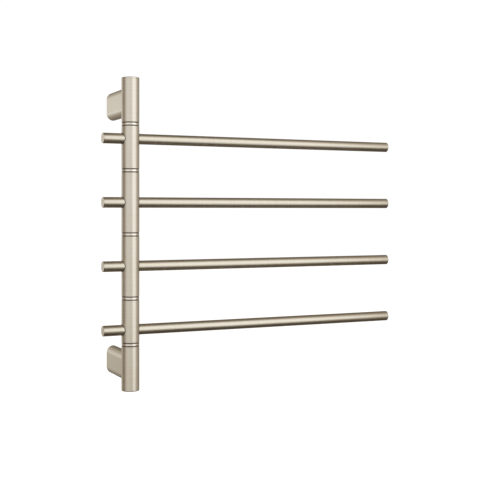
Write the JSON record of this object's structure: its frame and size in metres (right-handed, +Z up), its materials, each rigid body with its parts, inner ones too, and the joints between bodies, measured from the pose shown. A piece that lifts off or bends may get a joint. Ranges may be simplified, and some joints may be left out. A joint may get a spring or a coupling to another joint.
{
  "type": "swivel arm towel warmer",
  "caption": "Wall mounted electric towel warmer: a round post on slot-shaped brackets, whose turning lengths each carry a heated cross arm.",
  "frame": {"origin": "middle of the lower wall plate's back face, on the wall where the supply enters", "axes": "+Y into the wall, +Z up, +X along the arms folded flat against the wall, towards their long ends"},
  "size_m": [0.5945, 0.121, 0.5605],
  "materials": {
    "brushed_nickel_post": "brushed round the tube, satin nickel",
    "brushed_nickel_arm": "brushed round the tube, satin nickel",
    "polished_ring": "fine turned, brighter than the post",
    "brushed_nickel_bracket": "brushed along its depth, satin nickel",
    "die_cast_plate": "die cast, lightly bead blasted",
    "zinc_hardware": "zinc plated",
    "black_rubber": "matt",
    "terminal_plastic": "moulded, natural white",
    "loom_sleeving": "silicone sleeving over the cores",
    "turned_steel": "fine turned",
    "washer_polymer": "matt, low friction",
    "bush_polymer": "matt, filled",
    "spring_steel": "blued",
    "element_sheath": "drawn and lightly heat tinted"
  },
  "bodies": {
    "root": {"upper_post_tube": "brushed_nickel_post", "lower_post_tube": "brushed_nickel_post", "upper_end_cap": "brushed_nickel_post", "lower_end_cap": "brushed_nickel_post", "upper_bracket": "brushed_nickel_bracket", "lower_bracket": "brushed_nickel_bracket", "upper_wall_plate": "die_cast_plate", "lower_wall_plate": "die_cast_plate", "bracket_grub_screws": "zinc_hardware", "bracket_bolts": "zinc_hardware", "upper_anchor": "zinc_hardware", "lower_anchor": "zinc_hardware", "cable_grommet": "black_rubber", "terminal_block": "terminal_plastic", "supply_loom": "loom_sleeving", "bush_1": "bush_polymer", "bush_5": "bush_polymer"},
    "swivel_1": {"sleeve_1": "brushed_nickel_post", "arm_tube_1": "brushed_nickel_arm", "arm_end_caps_1": "brushed_nickel_arm", "heating_element_1": "element_sheath", "wiring_loom_1": "loom_sleeving", "spigot_1": "turned_steel", "joint_ring_1": "polished_ring", "thrust_washers_1": "washer_polymer", "snap_ring_1": "spring_steel", "bush_2": "bush_polymer"},
    "swivel_2": {"sleeve_2": "brushed_nickel_post", "arm_tube_2": "brushed_nickel_arm", "arm_end_caps_2": "brushed_nickel_arm", "heating_element_2": "element_sheath", "wiring_loom_2": "loom_sleeving", "spigot_2": "turned_steel", "joint_ring_2": "polished_ring", "thrust_washers_2": "washer_polymer", "snap_ring_2": "spring_steel", "bush_3": "bush_polymer"},
    "swivel_3": {"sleeve_3": "brushed_nickel_post", "arm_tube_3": "brushed_nickel_arm", "arm_end_caps_3": "brushed_nickel_arm", "heating_element_3": "element_sheath", "wiring_loom_3": "loom_sleeving", "spigot_3": "turned_steel", "joint_ring_3": "polished_ring", "thrust_washers_3": "washer_polymer", "snap_ring_3": "spring_steel", "bush_4": "bush_polymer"},
    "swivel_4": {"sleeve_4": "brushed_nickel_post", "arm_tube_4": "brushed_nickel_arm", "arm_end_caps_4": "brushed_nickel_arm", "heating_element_4": "element_sheath", "wiring_loom_4": "loom_sleeving", "spigot_4": "turned_steel", "joint_ring_4": "polished_ring", "thrust_washers_4": "washer_polymer", "snap_ring_4": "spring_steel", "spigot_5": "turned_steel", "joint_ring_5": "polished_ring", "thrust_washers_5": "washer_polymer", "snap_ring_5": "spring_steel"}
  },
  "joints": [
    {"name": "arm_swivel_1", "type": "hinge", "parent": "root", "child": "swivel_1", "pos_m": [0, -0.105, 0.4095], "axis": [0, 0, -1], "range_deg": [0, 180]},
    {"name": "arm_swivel_2", "type": "hinge", "parent": "root", "child": "swivel_2", "pos_m": [0, -0.105, 0.2955], "axis": [0, 0, -1], "range_deg": [0, 180]},
    {"name": "arm_swivel_3", "type": "hinge", "parent": "root", "child": "swivel_3", "pos_m": [0, -0.105, 0.1815], "axis": [0, 0, -1], "range_deg": [0, 180]},
    {"name": "arm_swivel_4", "type": "hinge", "parent": "root", "child": "swivel_4", "pos_m": [0, -0.105, 0.0675], "axis": [0, 0, -1], "range_deg": [0, 180]}
  ]
}
